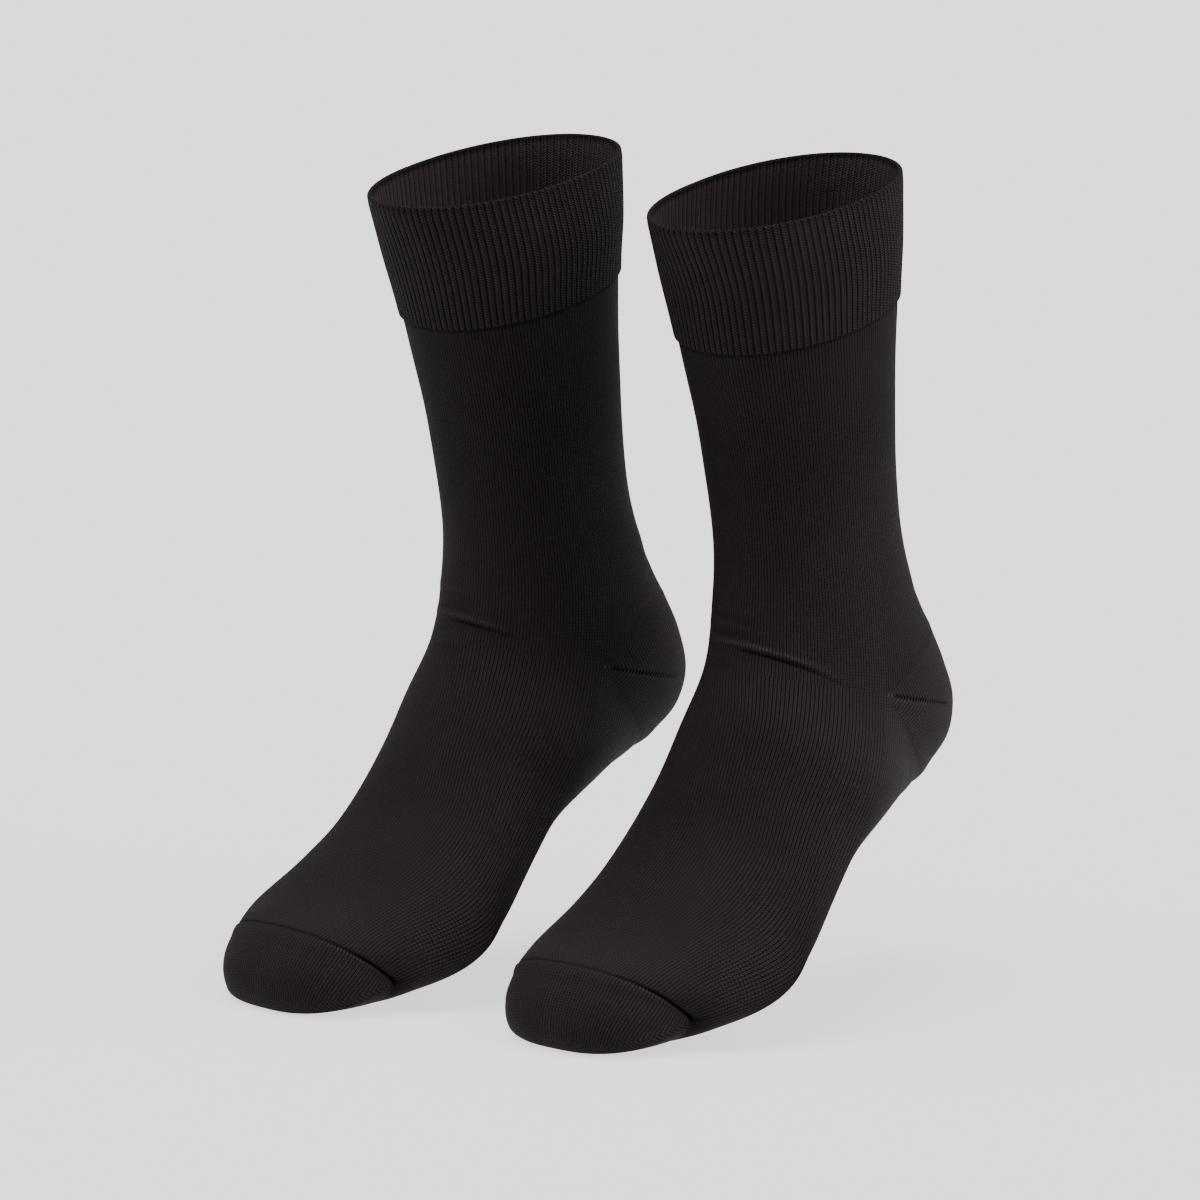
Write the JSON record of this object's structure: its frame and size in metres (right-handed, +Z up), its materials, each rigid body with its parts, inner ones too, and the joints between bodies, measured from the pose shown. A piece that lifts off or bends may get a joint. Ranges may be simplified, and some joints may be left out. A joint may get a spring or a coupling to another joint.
{
  "type": "pair of socks",
  "caption": "Pair of plain crew socks in fine near-black knit with ribbed cuffs, hollow and filled out as on the foot, forefeet down and heels lifted.",
  "frame": {"origin": "centre of the right sock's cuff opening, where the wearer's leg holds the sock", "axes": "+Z up, with the floor at the forefeet 299 mm below the origin; toes towards -Y, heels towards +Y; +X towards the left sock"},
  "size_m": [0.2264, 0.2435, 0.308],
  "materials": {
    "cuff_knit": "soft matte double knit, ribbed outside and in, near black",
    "leg_knit": "soft matte fine plain knit, near black",
    "heel_knit": "soft matte fine plain knit of a turned heel, near black",
    "foot_knit": "soft matte fine plain knit, near black",
    "toe_knit": "soft matte fine plain knit of a turned toe, near black"
  },
  "bodies": {
    "root": {"right_cuff": "cuff_knit", "right_leg": "leg_knit", "right_heel": "heel_knit", "right_foot": "foot_knit", "right_toe": "toe_knit", "left_cuff": "cuff_knit", "left_leg": "leg_knit", "left_heel": "heel_knit", "left_foot": "foot_knit", "left_toe": "toe_knit"}
  },
  "joints": []
}
